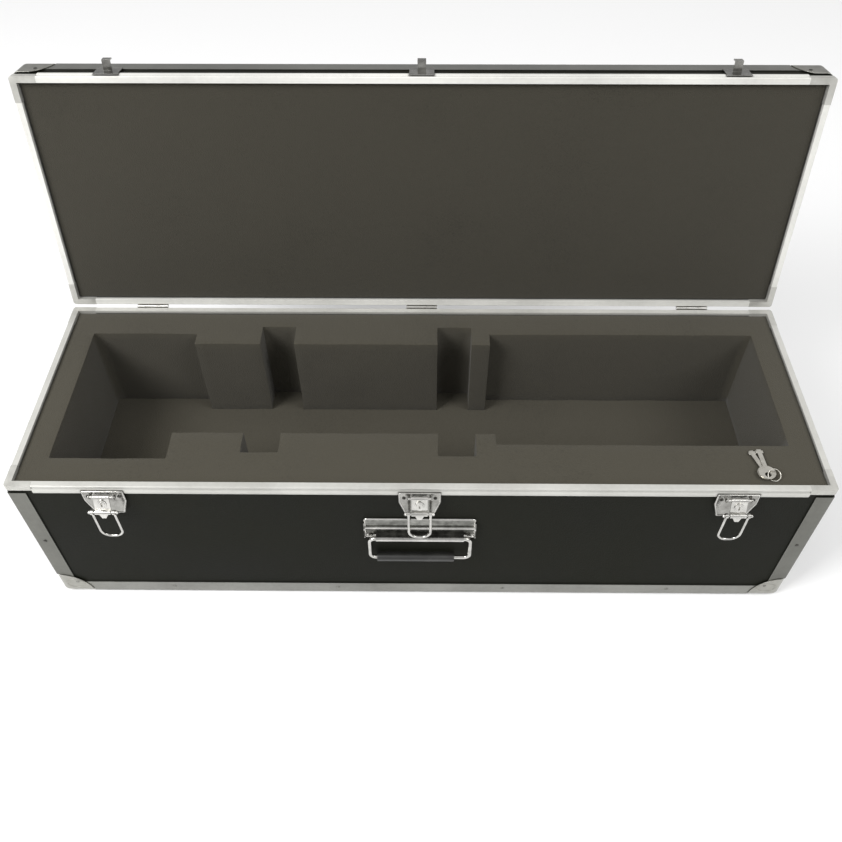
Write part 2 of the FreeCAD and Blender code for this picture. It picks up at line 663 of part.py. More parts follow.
def make_rivets():
    """Rivets through the posts, the lower edges, the lid's edges and the corner caps."""
    base = []
    lid = []
    middle = ANGLE_LEG / 2 + 1
    cap_in = 26.0
    for sx in (-1, 1):
        for sy in (-1, 1):
            base.append(rivet((sx * (HALF_X - middle), sy * HALF_Y, POST_RIVET_Z), (0, sy, 0)))
            base.append(rivet((sx * HALF_X, sy * (HALF_Y - middle), POST_RIVET_Z), (sx, 0, 0)))
            for group, z, lift in ((base, FOOT, cap_in), (lid, LID_TOP, -cap_in)):
                group.append(rivet((sx * (HALF_X - cap_in), sy * (HALF_Y + CAP_SHEET), z + lift), (0, sy, 0)))
                group.append(rivet((sx * (HALF_X + CAP_SHEET), sy * (HALF_Y - cap_in), z + lift), (sx, 0, 0)))
    for x in (-360.0, -120.0, 120.0, 360.0):
        for sy in (-1, 1):
            base.append(rivet((x, sy * HALF_Y, FOOT + middle), (0, sy, 0)))
            lid.append(rivet((x, sy * (HALF_Y - middle), LID_TOP), (0, 0, 1)))
    export("base_rivets", *base)
    export("lid_rivets", *[opened(head) for head in lid])


def flat_key(z):
    """A stamped key that points along +X, with the hole of its bow at the origin."""
    tip = KEY_HOLE_BACK + KEY_BOW_R + KEY_BLADE
    bow = rod(KEY_BOW_R, (KEY_HOLE_BACK, 0, z), (KEY_HOLE_BACK, 0, z + KEY_SHEET))
    blade = box(KEY_HOLE_BACK, tip, -KEY_BLADE_HALF, KEY_BLADE_HALF, z, z + KEY_SHEET)
    bit = box(tip - KEY_BIT - 2, tip - 2, -KEY_BIT_HALF, KEY_BIT_HALF, z, z + KEY_SHEET)
    return joined([bow, blade, bit]).cut(rod(KEY_HOLE_R, (0, 0, z), (0, 0, z + KEY_SHEET)))


def make_keys():
    """Two flat keys on a split ring, propped up by the ring with their tips on the foam."""
    ring_rise = RING_R * math.sin(math.radians(RING_TILT)) + RING_WIRE_R
    foot = (KEY_X, KEY_Y - RING_R * math.cos(math.radians(RING_TILT)), FOAM_TOP + 0.1)
    level = foot[2] + ring_rise
    keys = [turned(flat_key(-i * KEY_SHEET), angle) for i, angle in enumerate(KEY_ANGLES)]
    ring = turned(Part.makeTorus(RING_R, RING_WIRE_R, V(RING_R, 0, 0)), RING_TILT, (RING_R, 0, 0), (1, 0, 0))
    for name, shapes in (("keys", keys), ("key_ring", [ring])):
        placed = [moved(shape, KEY_X, KEY_Y, level) for shape in shapes]
        export(name, *[turned(shape, -KEYS_DIP, foot, (1, 0, 0)) for shape in placed])


make_shell()
make_lid()
make_foam()
make_hinges()
make_latches()
make_handle()
make_rivets()
make_keys()
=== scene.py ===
import json
import math

import bmesh
import bpy
from mathutils import Matrix, Vector, noise


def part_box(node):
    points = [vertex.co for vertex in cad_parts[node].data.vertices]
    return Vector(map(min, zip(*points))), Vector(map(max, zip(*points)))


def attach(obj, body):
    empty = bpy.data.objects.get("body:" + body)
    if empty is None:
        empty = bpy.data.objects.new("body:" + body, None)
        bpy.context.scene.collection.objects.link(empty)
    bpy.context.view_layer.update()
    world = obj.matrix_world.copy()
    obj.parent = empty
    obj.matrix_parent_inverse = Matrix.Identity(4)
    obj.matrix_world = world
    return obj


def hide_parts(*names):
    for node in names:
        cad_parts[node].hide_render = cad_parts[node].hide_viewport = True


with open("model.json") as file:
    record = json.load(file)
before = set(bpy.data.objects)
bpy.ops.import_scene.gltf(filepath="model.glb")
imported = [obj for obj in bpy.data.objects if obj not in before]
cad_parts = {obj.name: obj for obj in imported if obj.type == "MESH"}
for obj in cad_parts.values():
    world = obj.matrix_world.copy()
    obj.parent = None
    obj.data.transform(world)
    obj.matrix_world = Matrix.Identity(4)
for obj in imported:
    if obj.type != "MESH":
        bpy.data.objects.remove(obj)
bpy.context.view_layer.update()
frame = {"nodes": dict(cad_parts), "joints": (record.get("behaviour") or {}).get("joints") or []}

MM = 0.001
SIDES = ("front", "back", "left", "right")
PLACES = ("left", "middle", "right")
NODES = frame["nodes"]
JOINTS = {joint["name"]: joint for joint in frame["joints"]}

# The middle of the base, and the lid's swing from closed to where it rests
MIDDLE_Y = sum(corner.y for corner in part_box("base_edge_left")) / 2
HINGE = Vector(JOINTS["lid_hinge"]["pos_m"])
LID_OPEN = math.radians(-100.0)


# ---------------------------------------------------------------- materials

class Look:
    """A procedural material that is being put together."""

    def __init__(self, name, **sockets):
        self.material = bpy.data.materials.new(name)
        self.material.use_nodes = True
        self.tree = self.material.node_tree
        self.shader = self.tree.nodes["Principled BSDF"]
        for socket, value in sockets.items():
            self.shader.inputs[socket.replace("_", " ")].default_value = value

    def node(self, kind, inputs=(), **settings):
        made = self.tree.nodes.new(kind)
        for key, value in settings.items():
            setattr(made, key, value)
        for key, value in dict(inputs).items():
            if isinstance(value, bpy.types.NodeSocket):
                self.tree.links.new(value, made.inputs[key])
            else:
                made.inputs[key].default_value = value
        return made

    def place(self, scale=(1, 1, 1), turn=0.0):
        """The piece's own coordinates in metres, turned about X and then scaled."""
        here = self.node("ShaderNodeTexCoord").outputs["Object"]
        if turn:
            here = self.node("ShaderNodeMapping", {"Vector": here, "Rotation": (turn, 0, 0)}).outputs[0]
        return self.node("ShaderNodeMapping", {"Vector": here, "Scale": scale}).outputs[0]

    def noise(self, place, scale, detail=2.0, roughness=0.5):
        return self.node("ShaderNodeTexNoise", {"Vector": place, "Scale": scale, "Detail": detail,
                                                "Roughness": roughness}).outputs["Fac"]

    def cells(self, place, scale, feature="F1"):
        return self.node("ShaderNodeTexVoronoi", {"Vector": place, "Scale": scale},
                         feature=feature).outputs["Distance"]

    def colours(self, factor, stops):
        """A colour ramp from (position, colour) stops."""
        ramp = self.node("ShaderNodeValToRGB", {"Fac": factor})
        elements = ramp.color_ramp.elements
        while len(elements) < len(stops):
            elements.new(0.5)
        for element, (position, colour) in zip(elements, stops):
            element.position = position
            element.color = (*colour, 1)
        return ramp.outputs["Color"]

    def mixed(self, factor, first, second, blend="MIX"):
        mix = self.node("ShaderNodeMix", data_type="RGBA", blend_type=blend)
        for socket, value in ((0, factor), (6, first), (7, second)):
            if isinstance(value, bpy.types.NodeSocket):
                self.tree.links.new(value, mix.inputs[socket])
            else:
                mix.inputs[socket].default_value = value if socket == 0 else (*value, 1)
        return mix.outputs[2]

    def ranged(self, value, low, high, source=(0.3, 0.7)):
        return self.node("ShaderNodeMapRange", {"Value": value, "From Min": source[0], "From Max": source[1],
                                                "To Min": low, "To Max": high}).outputs["Result"]

    def sum(self, first, second, weight):
        scaled = self.node("ShaderNodeMath", {0: second, 1: weight}, operation="MULTIPLY").outputs[0]
        return self.node("ShaderNodeMath", {0: first, 1: scaled}, operation="ADD").outputs[0]

    def bump(self, height, strength, distance):
        made = self.node("ShaderNodeBump", {"Height": height, "Strength": strength, "Distance": distance})
        self.tree.links.new(made.outputs["Normal"], self.shader.inputs["Normal"])

    def feed(self, socket, value):
        self.tree.links.new(value, self.shader.inputs[socket])


# Painted shade: the dull colour laid into the extrusions' crevices where they are shut in
CREVICE_SHADE = (0.05, 0.05, 0.044)

# Heights in metres: the bracket's crease, the top of its rolled edge (both carry the bracket's painted
# highlights), and the line over the lowest rivets (the rivets above it carry painted shade)
CREASE = 0.171
ROLLED_TOP = 0.154
LOW_RIVETS = 0.055

# Dark and light tones of the aluminium
RAIL_TONES = ((0.2, 0.2, 0.184), (0.3, 0.3, 0.278))
# Painted shade: the upright posts get a darker copy of the rails' aluminium tones
POST_SHADED_TONES = ((0.105, 0.105, 0.092), (0.165, 0.165, 0.148))
RIM_TONES = ((0.43, 0.425, 0.395), (0.57, 0.565, 0.53))
# Painted light: the lid's rims get a lighter copy of the base rims' aluminium tones
LID_RIM_LIT_TONES = ((0.58, 0.575, 0.54), (0.75, 0.745, 0.705))


def laminate():
    """Black laminate with fine pebbles, a little dusty in large soft patches."""
    look = Look("black_laminate", Specular_IOR_Level=0.08)
    place = look.place()
    pebbles = look.cells(place, 620, "SMOOTH_F1")
    grain = look.noise(place, 1500, 3)
    patches = look.noise(place, 5, 3)
    dark = look.colours(patches, [(0.3, (0.0052, 0.0056, 0.0034)), (0.75, (0.0105, 0.011, 0.0072))])
    specks = look.colours(grain, [(0.35, (0.75, 0.75, 0.75)), (0.7, (1.35, 1.35, 1.3))])
    look.feed("Base Color", look.mixed(1.0, dark, specks, "MULTIPLY"))
    look.feed("Roughness", look.ranged(patches, 0.5, 0.64))
    look.bump(look.sum(pebbles, grain, 0.3), 0.5, 0.5 * MM)
    return look.material


def aluminium(name, dark, light, along, turn=0.0, metallic=1.0):
    """Brushed extrusion: long fine streaks along the piece, soft blotches, dull marks and painted shade in
    the crevices.
    """
    look = Look(name, Metallic=metallic)
    across_streaks, along_streaks = 700.0, 4.0
    scale = [across_streaks] * 3
    scale["XYZ".index(along)] = along_streaks
    lines = look.noise(look.place(scale, turn), 1.0, 3, 0.6)
    place = look.place()
    blotches = look.noise(place, 9, 4)
    marks = look.noise(place, 170, 2)
    tone = look.sum(look.sum(blotches, lines, 0.24), marks, 0.25)
    # Painted shade: ambient occlusion pulls the colour towards the crevice shade in tight corners and grooves
    openness = look.node("ShaderNodeAmbientOcclusion", {"Distance": 3 * MM}, samples=8).outputs["AO"]
    crevice_shade_mask = look.ranged(openness, 0.85, 0.0, source=(0.6, 0.93))
    look.feed("Base Color", look.mixed(crevice_shade_mask, look.colours(tone, [(0.45, dark), (0.9, light)]), CREVICE_SHADE))
    look.feed("Roughness", look.ranged(look.sum(blotches, lines, 0.4), 0.3, 0.42, source=(0.4, 1.0)))
    look.bump(look.sum(lines, marks, 0.2), 0.12, 0.3 * MM)
    return look.material


def plated(name, dark, light, roughness=(0.1, 0.26), grain=900, strength=0.06):
    """Plated steel: nearly a mirror, with smudges and faint ripples from pressing."""
    look = Look(name, Metallic=1.0)
    place = look.place()
    smudges = look.noise(place, 75, 4, 0.6)
    fine = look.noise(place, grain, 2)
    ripples = look.noise(place, 160, 1)
    look.feed("Base Color", look.colours(look.sum(smudges, fine, 0.2), [(0.35, dark), (0.8, light)]))
    look.feed("Roughness", look.ranged(smudges, *roughness))
    look.bump(look.sum(ripples, fine, 0.15), strength, 1.2 * MM)
    return look.material


def cast(name, dark, light):
    """Dull die-cast metal with a fine sandy skin."""
    look = Look(name, Metallic=0.45)
    place = look.place()
    blotches = look.noise(place, 45, 4, 0.6)
    sand = look.noise(place, 1800, 2)
    look.feed("Base Color", look.colours(look.sum(blotches, sand, 0.25), [(0.4, dark), (0.85, light)]))
    look.feed("Roughness", look.ranged(blotches, 0.38, 0.55))
    look.bump(sand, 0.25, 0.2 * MM)
    return look.material


def foam(name, dark, light):
    """Open-cell foam: fine pores, a soft nap and slow changes of tone."""
    look = Look(name, Specular_IOR_Level=0.08, Roughness=0.95, Sheen_Weight=0.12, Sheen_Roughness=0.6)
    place = look.place()
    pores = look.cells(place, 850)
    nap = look.noise(place, 420, 4, 0.65)
    slow = look.noise(place, 7, 3)
    tone = look.sum(look.sum(nap, slow, 0.7), pores, 0.5)
    look.feed("Base Color", look.colours(tone, [(0.6, dark), (1.25, light)]))
    look.bump(look.sum(pores, nap, 0.9), 0.55, 0.9 * MM)
    return look.material


def moulded(name, colour, lighter):
    """Matt moulded plastic with a fine spark-eroded grain."""
    look = Look(name, Specular_IOR_Level=0.6)
    place = look.place()
    grain = look.noise(place, 1300, 3)
    wear = look.noise(place, 60, 3)
    look.feed("Base Color", look.colours(wear, [(0.4, colour), (0.8, lighter)]))
    look.feed("Roughness", look.ranged(grain, 0.28, 0.42))
    look.bump(grain, 0.3, 0.3 * MM)
    return look.material


def bracket_look():
    """Plated steel with painted reflections: painted dark reflections on its flats, darkest below the crease,
    and painted highlights on the crease and on the rolled lower edge.
    """
    look = Look("bracket_plate", Metallic=1.0)
    place = look.place()
    height = look.node("ShaderNodeSeparateXYZ", {0: place}).outputs["Z"]
    smudges = look.noise(place, 75, 4, 0.6)
    # Painted reflection: dark tones on the flats above the crease, and darker painted shade on the flats
    # below it
    upper = look.colours(smudges, [(0.35, (0.1, 0.1, 0.09)), (0.75, (0.36, 0.36, 0.335))])
    lower = look.colours(smudges, [(0.35, (0.035, 0.035, 0.03)), (0.75, (0.17, 0.17, 0.155))])
    # Painted highlight tones, laid as bands on the crease and on the rolled lower edge
    bright = look.colours(smudges, [(0.35, (0.5, 0.49, 0.47)), (0.8, (0.74, 0.73, 0.7))])
    off_crease = look.node("ShaderNodeMath", {0: height, 1: CREASE}, operation="SUBTRACT").outputs[0]
    off_crease = look.node("ShaderNodeMath", {0: off_crease}, operation="ABSOLUTE").outputs[0]
    on_crease = look.ranged(off_crease, 1.0, 0.0, source=(1.2 * MM, 2.4 * MM))
    on_edge = look.ranged(height, 1.0, 0.0, source=(ROLLED_TOP - MM, ROLLED_TOP + MM))
    painted_highlight_mask = look.node("ShaderNodeMath", {0: on_crease, 1: on_edge}, operation="MAXIMUM").outputs[0]
    flats = look.mixed(look.ranged(height, 0.0, 1.0, source=(CREASE - MM, CREASE)), lower, upper)
    look.feed("Base Color", look.mixed(painted_highlight_mask, flats, bright))
    look.feed("Roughness", look.ranged(smudges, 0.1, 0.22))
    look.bump(look.noise(place, 160, 1), 0.06, 1.2 * MM)
    return look.material


def riveted():
    """Rivet heads: darkened with painted shade where they go through the posts, lighter along the lower
    edges.
    """
    look = Look("rivet_head", Metallic=1.0)
    height = look.node("ShaderNodeSeparateXYZ", {0: look.place()}).outputs["Z"]
    stain = look.noise(look.place(), 260, 3)
    # Painted shade: rivets above the lowest line, and the latch screws that share this material, take the
    # darker tones
    low = look.colours(stain, [(0.35, (0.17, 0.168, 0.152)), (0.7, (0.3, 0.298, 0.278))])
    high = look.colours(stain, [(0.35, (0.045, 0.044, 0.04)), (0.7, (0.12, 0.117, 0.105))])
    upper = look.ranged(height, 0.0, 1.0, source=(LOW_RIVETS - 5 * MM, LOW_RIVETS + 5 * MM))
    look.feed("Base Color", look.mixed(upper, low, high))
    look.feed("Roughness", look.ranged(stain, 0.35, 0.5))
    look.bump(stain, 0.1, 0.3 * MM)
    return look.material


def floor_look():
    """A pale even floor."""
    look = Look("studio_floor", Roughness=0.9, Specular_IOR_Level=0.1)
    tone = look.noise(look.place(), 2.0, 2)
    look.feed("Base Color", look.colours(tone, [(0.3, (0.88, 0.88, 0.88)), (0.7, (0.9, 0.9, 0.9))]))
    return look.material


LAMINATE = laminate()
CHROME = plated("chrome_plate", (0.4, 0.395, 0.375), (0.64, 0.63, 0.6))
PLATE = plated("latch_plate", (0.16, 0.156, 0.145), (0.42, 0.415, 0.39))
BRACKET = bracket_look()
PRESSED = plated("plated_caps", (0.29, 0.285, 0.255), (0.4, 0.395, 0.365), (0.3, 0.45), 1100, 0.08)
HINGE_STEEL = plated("hinge_plate", (0.45, 0.44, 0.41), (0.66, 0.65, 0.62), (0.25, 0.4))
CAST = cast("cast_corner", (0.4, 0.395, 0.365), (0.56, 0.555, 0.52))
RIVET = riveted()
BASE_FOAM = foam("grey_foam", (0.0268, 0.0241, 0.0172), (0.056, 0.0507, 0.0368))
LID_FOAM = foam("dark_foam", (0.0205, 0.0186, 0.0136), (0.0412, 0.0376, 0.0278))
GRIP = moulded("grip_plastic", (0.012, 0.012, 0.011), (0.028, 0.028, 0.026))
NICKEL = plated("key_nickel", (0.42, 0.4, 0.36), (0.66, 0.64, 0.58), (0.22, 0.4))
STREAK_AXIS = {"front": "X", "back": "X", "left": "Y", "right": "Y"}


def dress(name, material):
    """Give a CAD node its material."""
    mesh = NODES[name].data
    mesh.materials.clear()
    mesh.materials.append(material)


def soften(name, width, angle=32.0):
    """Weld a CAD node's faces, round its edges a little and smooth the rest."""
    node = NODES[name]
    mesh = node.data
    if "custom_normal" in mesh.attributes:
        mesh.attributes.remove(mesh.attributes["custom_normal"])
    mesh.shade_smooth()
    weld = node.modifiers.new("weld", "WELD")
    weld.merge_threshold = 0.002 * MM
    bevel = node.modifiers.new("edge", "BEVEL")
    bevel.width = width
    bevel.segments = 2
    bevel.limit_method = "ANGLE"
    bevel.angle_limit = math.radians(angle)
    bevel.harden_normals = True
    bevel.use_clamp_overlap = True
    bevel.miter_outer = "MITER_ARC"


def dress_shell():
    """Panels, extrusions, rims, caps and rivets."""
    for name in [side + "_panel" for side in SIDES] + ["bottom_panel", "lid_panel"]:
        dress(name, LAMINATE)
    for side in SIDES:
        along = STREAK_AXIS[side]
        turn = -LID_OPEN if along == "Y" else 0.0
        dress("lid_side_" + side, LAMINATE)
        dress("base_edge_" + side, aluminium("edge_" + side, *RAIL_TONES, along))
        dress("base_rim_" + side, aluminium("rim_" + side, *RIM_TONES, along, metallic=0.3))
        dress("lid_edge_" + side, aluminium("lid_edge_" + side, *RAIL_TONES, along, turn))
        dress("lid_rim_" + side, aluminium("lid_rim_" + side, *LID_RIM_LIT_TONES, along, turn, metallic=0.2))
        for group in ("base_edge_", "base_rim_", "lid_edge_", "lid_rim_"):
            soften(group + side, 0.25 * MM)
    dress("base_corner_posts", aluminium("posts", *POST_SHADED_TONES, "Z"))
    soften("base_corner_posts", 0.25 * MM)
    for name in ("base_rim_corners", "lid_rim_corners"):
        dress(name, CAST)
        soften(name, 0.5 * MM)
    for name in ("base_ball_corners", "lid_ball_corners"):
        dress(name, PRESSED)
        soften(name, 0.35 * MM)
    for name in ("base_rivets", "lid_rivets"):
        dress(name, RIVET)
        soften(name, 0.1 * MM, 60)
    for name in ("hinge_base_leaves", "hinge_lid_leaves", "hinge_pins"):
        dress(name, HINGE_STEEL)
        soften(name, 0.2 * MM)


def dress_hardware():
    """Latches, handle and keys."""
    for name, material in (("latch_plates", PLATE), ("latch_pivot_pins", CHROME), ("latch_strikes", PLATE),
                           ("handle_bracket", BRACKET), ("handle_frame", CHROME)):
        dress(name, material)
        soften(name, 0.2 * MM)
    for place in PLACES:
        for group in ("latch_lever_", "lock_cylinder_", "bail_pin_", "bail_"):
            dress(group + place, CHROME)
            soften(group + place, 0.2 * MM)
    dress("handle_grip", GRIP)
    soften("handle_grip", 0.3 * MM)
    for name in ("keys", "key_ring"):
        dress(name, NICKEL)
        soften(name, 0.15 * MM)


# ---------------------------------------------------------------- foam

FOAM_STEP = 13 * MM
FOAM_WAVE = 0.6 * MM
FOAM_ROUND = 1.1 * MM
SHEET_EDGE = 3 * MM
# The cut-outs in the upper foam block, in millimetres from the middle of the base: x from, x to, y from, y to
CUTOUTS = (
    (-482.0, -331.0, -118.0, 115.0),
    (-332.0, 101.0, -74.0, 94.0),
    (-235.0, -186.0, -107.0, 131.0),
    (24.0, 73.0, -112.0, 130.0),
    (100.0, 483.0, -92.0, 116.0),
)


def divided(lines, step):
    """Grid lines at all of these places and at even steps between them."""
    lines = sorted(set(round(line, 6) for line in lines))
    made = []
    for low, high in zip(lines, lines[1:]):
        count = max(1, round((high - low) / step))
        made += [low + (high - low) * i / count for i in range(count)]
    return made + [lines[-1]]


def in_cutout(x, y):
    """Is this point of the plan, in metres, over a cut-out?"""
    return any(x0 < x / MM < x1 and y0 < (y - MIDDLE_Y) / MM < y1 for x0, x1, y0, y1 in CUTOUTS)


def shown(mesh, name, body, material):
    """Put a finished mesh in the scene as a piece that rides on a body."""
    piece = bpy.data.objects.new(name, mesh)
    bpy.context.scene.collection.objects.link(piece)
    mesh.materials.append(material)
    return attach(piece, body)


def foam_insert():
    """The cut-out block: one skin over the top, down every wall, and round the outside."""
    low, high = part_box("foam_block")
    xs = divided([low.x, high.x] + [c * MM for cut in CUTOUTS for c in cut[:2]], FOAM_STEP)
    ys = divided([low.y, high.y] + [c * MM + MIDDLE_Y for cut in CUTOUTS for c in cut[2:]], FOAM_STEP)
    zs = divided([low.z, high.z], FOAM_STEP)
    build = bmesh.new()
    corners = {}

    def corner(x, y, z):
        key = (round(x, 6), round(y, 6), round(z, 6))
        if key not in corners:
            corners[key] = build.verts.new((x, y, z))
        return corners[key]

    def solid(i, j):
        if not (0 <= i < len(xs) - 1 and 0 <= j < len(ys) - 1):
            return False
        return not in_cutout((xs[i] + xs[i + 1]) / 2, (ys[j] + ys[j + 1]) / 2)

    def wall(x0, y0, x1, y1):
        for z0, z1 in zip(zs, zs[1:]):
            build.faces.new([corner(x0, y0, z0), corner(x1, y1, z0), corner(x1, y1, z1), corner(x0, y0, z1)])

    for i in range(len(xs) - 1):
        for j in range(len(ys) - 1):
            if not solid(i, j):
                continue
            x0, x1, y0, y1 = xs[i], xs[i + 1], ys[j], ys[j + 1]
            build.faces.new([corner(x0, y0, high.z), corner(x1, y0, high.z),
                             corner(x1, y1, high.z), corner(x0, y1, high.z)])
            build.faces.new([corner(x0, y1, low.z), corner(x1, y1, low.z),
                             corner(x1, y0, low.z), corner(x0, y0, low.z)])
            if not solid(i, j - 1):
                wall(x0, y0, x1, y0)
            if not solid(i + 1, j):
                wall(x1, y0, x1, y1)
            if not solid(i, j + 1):
                wall(x1, y1, x0, y1)
            if not solid(i - 1, j):
                wall(x0, y1, x0, y0)
    build.normal_update()
    for vert in build.verts:
        upright = [face.normal for face in vert.link_faces if abs(face.normal.z) < 0.5]
        out = sum(upright, Vector()) / max(1, len(upright))
        place = vert.co / MM
        if out.length > 0.1:
            slow = noise.noise(place / 55)
            quick = noise.noise(place / 14)
            vert.co -= out * (0.6 + 0.7 * slow + 0.25 * quick) * MM
        if high.z - vert.co.z < 0.1 * MM:
            vert.co.z -= (0.5 + 0.5 * noise.noise(place / 70 + Vector((9, 0, 0)))) * MM
    sharp = 1.0
    rims = [edge for edge in build.edges
            if len(edge.link_faces) == 2 and edge.calc_face_angle_signed(0) > sharp]
    bmesh.ops.bevel(build, geom=rims, offset=FOAM_ROUND, segments=2, profile=0.6, affect="EDGES",
                    clamp_overlap=True)
    mesh = bpy.data.meshes.new("foam_insert")
    build.to_mesh(mesh)
    build.free()
    mesh.shade_smooth()
    piece = shown(mesh, "foam_insert", "base", BASE_FOAM)
    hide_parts("foam_block")


def foam_sheet(name, node, body, material, turn=0.0):
    """A flat sheet of foam with soft edges and a slightly uneven face."""
    back = Matrix.Translation(HINGE) @ Matrix.Rotation(turn, 4, "X") @ Matrix.Translation(-HINGE)
    flat = back.inverted()
    points = [flat @ vert.co for vert in NODES[node].data.vertices]
    low = Vector([min(point[i] for point in points) for i in range(3)])
    high = Vector([max(point[i] for point in points) for i in range(3)])
    build = bmesh.new()
    bmesh.ops.create_cube(build, size=1.0)
    middle = (low + high) / 2
    size = high - low
    for vert in build.verts:
        vert.co = Vector([middle[i] + vert.co[i] * size[i] for i in range(3)])
    bmesh.ops.bevel(build, geom=build.edges[:], offset=SHEET_EDGE, segments=3, profile=0.55, affect="EDGES")
    for axis in (0, 1):
        for at in divided([low[axis] + SHEET_EDGE, high[axis] - SHEET_EDGE], 2 * FOAM_STEP)[1:-1]:
            normal = Vector((0, 0, 0))
            normal[axis] = 1
            spot = middle.copy()
            spot[axis] = at
            bmesh.ops.bisect_plane(build, geom=build.verts[:] + build.edges[:] + build.faces[:],
                                   plane_co=spot, plane_no=normal, dist=0.00001)
    build.normal_update()
    for vert in build.verts:
        sink = 0.5 + 0.5 * noise.noise(vert.co * 16) + 0.25 * noise.noise(vert.co * 60)
        vert.co = back @ (vert.co - vert.normal * FOAM_WAVE * sink)
    mesh = bpy.data.meshes.new(name)
    build.to_mesh(mesh)
    build.free()
    mesh.shade_smooth()
    piece = shown(mesh, name, body, material)
    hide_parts(node)


# ---------------------------------------------------------------- small pressed and screwed details

# Half the length and half the depth over the extrusions, the latches' places and the face of their plates
HALF_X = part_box("base_edge_right")[1].x
HALF_Y = MIDDLE_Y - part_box("base_edge_front")[0].y
LATCH_XS = [JOINTS["lever_" + place + "_pivot"]["pos_m"][0] / MM for place in PLACES]
PLATE_FACE = 2.0


def ridge(build, outline, out, width, height):
    """A pressed ridge along a closed outline on a flat face; it is sunk a little so that no gap shows."""
    profile = [(-0.5, -0.35), (-0.42, 0.3), (-0.2, 0.85), (0.0, 1.0), (0.2, 0.85), (0.42, 0.3), (0.5, -0.35)]
    rings = []
    for i, point in enumerate(outline):
        before = (point - outline[i - 1]).normalized()
        after = (outline[(i + 1) % len(outline)] - point).normalized()
        normal = (before + after).normalized().cross(out)
        reach = width / max(0.5, normal.dot(before.cross(out)))
        rings.append([build.verts.new(point + normal * reach * a + out * height * h) for a, h in profile])
    for i, ring in enumerate(rings):
        following = rings[(i + 1) % len(rings)]
        for k in range(len(profile)):
            on = (k + 1) % len(profile)
            build.faces.new([ring[k], ring[on], following[on], following[k]])


def oval(centre, across, up, sizes, around=36):
    """Points round an oval."""
    angles = [math.tau * i / around for i in range(around)]
    return [centre + across * math.cos(angle) * sizes[0] + up * math.sin(angle) * sizes[1]
            for angle in angles]


def rounded(corners, radius, steps=6):
    """A closed outline with its corners rounded."""
    made = []
    for i, corner in enumerate(corners):
        back = (corners[i - 1] - corner).normalized()
        on = (corners[(i + 1) % len(corners)] - corner).normalized()
        inset = radius / math.tan(back.angle(on) / 2)
        for k in range(steps + 1):
            share = k / steps
            first = corner + back * inset * (1 - share)
            second = corner + on * inset * share
            made.append(first.lerp(second, share))
    return made


def on_front(x, z, out):
    """A point in front of the case, in millimetres; out is the distance from the extrusions' face."""
    return Vector((x * MM, MIDDLE_Y - HALF_Y - out * MM, z * MM))


def screw_head(build, centre, across, up, radius, rise, turn):
    """A slotted screw head: a low disc with two raised halves and the slot between them."""
    out = across.cross(up)
    along = across * math.cos(turn) + up * math.sin(turn)
    beside = up * math.cos(turn) - across * math.sin(turn)
    slot = 0.2 * radius

    def prism(outline, low, high, shrink):
        bottom = [build.verts.new(centre + along * a + beside * b + out * low) for a, b in outline]
        top = [build.verts.new(centre + (along * a + beside * b) * shrink + out * high) for a, b in outline]
        build.faces.new(top)
        build.faces.new(bottom[::-1])
        for i in range(len(outline)):
            on = (i + 1) % len(outline)
            build.faces.new([bottom[i], bottom[on], top[on], top[i]])

    def arc(start, sweep, size, steps):
        angles = [start + sweep * i / steps for i in range(steps)]
        return [(size * math.cos(angle), size * math.sin(angle)) for angle in angles]

    prism(arc(0, math.tau, radius, 24), -0.3 * rise, 0.4 * rise, 1.0)
    reach = math.acos(slot / radius)
    for side in (0, math.pi):
        prism(arc(side + math.pi / 2 - reach, 2 * reach, 0.97 * radius, 12), 0.35 * rise, rise, 0.93)


def finished(build, name, body, material, edge=0.0):
    """Turn a built mesh into a smooth piece on a body."""
    bmesh.ops.recalc_face_normals(build, faces=build.faces[:])
    mesh = bpy.data.meshes.new(name)
    build.to_mesh(mesh)
    build.free()
    mesh.shade_smooth()
    piece = shown(mesh, name, body, material)
    if edge:
        bevel = piece.modifiers.new("edge", "BEVEL")
        bevel.width = edge
        bevel.segments = 2
        bevel.limit_method = "ANGLE"
        bevel.harden_normals = True
    return piece


def cap_ovals():
    """The oval pressed into each upright face of the lower corner caps."""
    sheet = 1.2 * MM
    inward = 22 * MM
    sizes = (13 * MM, 10 * MM)
    width, height = 3.4 * MM, 0.7 * MM
    up = Vector((0, 0, 1))
    build = bmesh.new()
    for sx, sy in ((-1, -1), (-1, 1), (1, -1), (1, 1)):
        side = Vector((sx * (HALF_X + sheet), MIDDLE_Y + sy * (HALF_Y - inward), inward))
        front = Vector((sx * (HALF_X - inward), MIDDLE_Y + sy * (HALF_Y + sheet), inward))
        ridge(build, oval(front, Vector((-sy, 0, 0)), up, sizes), Vector((0, sy, 0)), width, height)
        ridge(build, oval(side, Vector((0, sx, 0)), up, sizes), Vector((sx, 0, 0)), width, height)
    finished(build, "cap_ovals", "base", PRESSED)


def front_beads():
    """The raised edge pressed into each latch plate and into the handle's bracket."""
    out = Vector((0, -1, 0))
    build = bmesh.new()
    for x in LATCH_XS:
        left = [(-25.7, 249.8), (-25.7, 231.3), (-17.9, 206.3)]
        corners = left + [(-a, z) for a, z in reversed(left)]
        outline = rounded([on_front(x + a, z, PLATE_FACE) for a, z in corners], 1.5 * MM)
        ridge(build, outline, out, 2.0 * MM, 0.9 * MM)
    bracket_face = -0.3
    corners = [(-73, 189.5), (-73, 149), (73, 149), (73, 189.5)]
    outline = rounded([on_front(a, z, bracket_face) for a, z in corners], 4 * MM)
    ridge(build, outline, out, 3.2 * MM, 1.3 * MM)
    finished(build, "front_beads", "base", CHROME)


